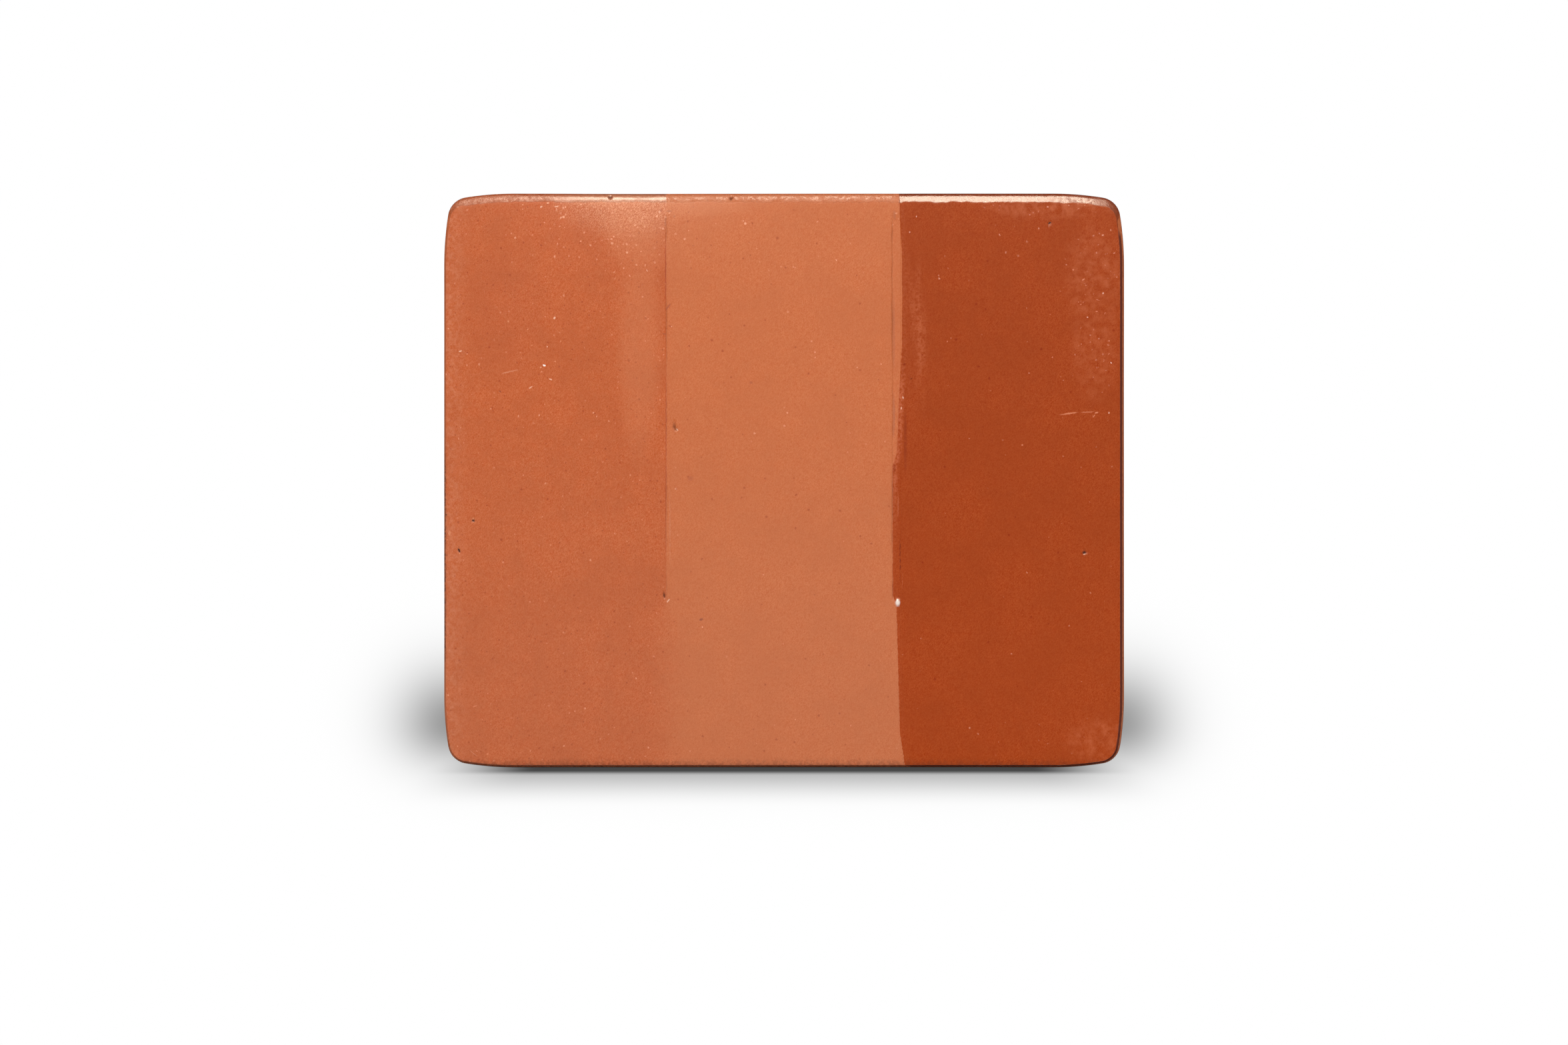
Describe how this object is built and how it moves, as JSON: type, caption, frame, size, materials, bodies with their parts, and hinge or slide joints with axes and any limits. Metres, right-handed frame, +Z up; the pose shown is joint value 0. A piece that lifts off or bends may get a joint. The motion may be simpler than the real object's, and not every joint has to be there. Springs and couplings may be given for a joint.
{
  "type": "clay brick",
  "caption": "Squarish terracotta clay block with rounded corners and edges, its face scored into satin, bare matt and gloss-sealed panels.",
  "frame": {"origin": "centre of the bounding box's bottom face, on the surface that the block stands on", "axes": "+X along the long edge of the face to the viewer's right, +Y from the face towards the back, +Z up; the finished face looks along -Y"},
  "size_m": [0.09, 0.03, 0.076],
  "materials": {
    "fired_clay": "matt fired clay, with a satin panel and a gloss-sealed panel on the face"
  },
  "bodies": {
    "root": {"brick": "fired_clay"}
  },
  "joints": []
}
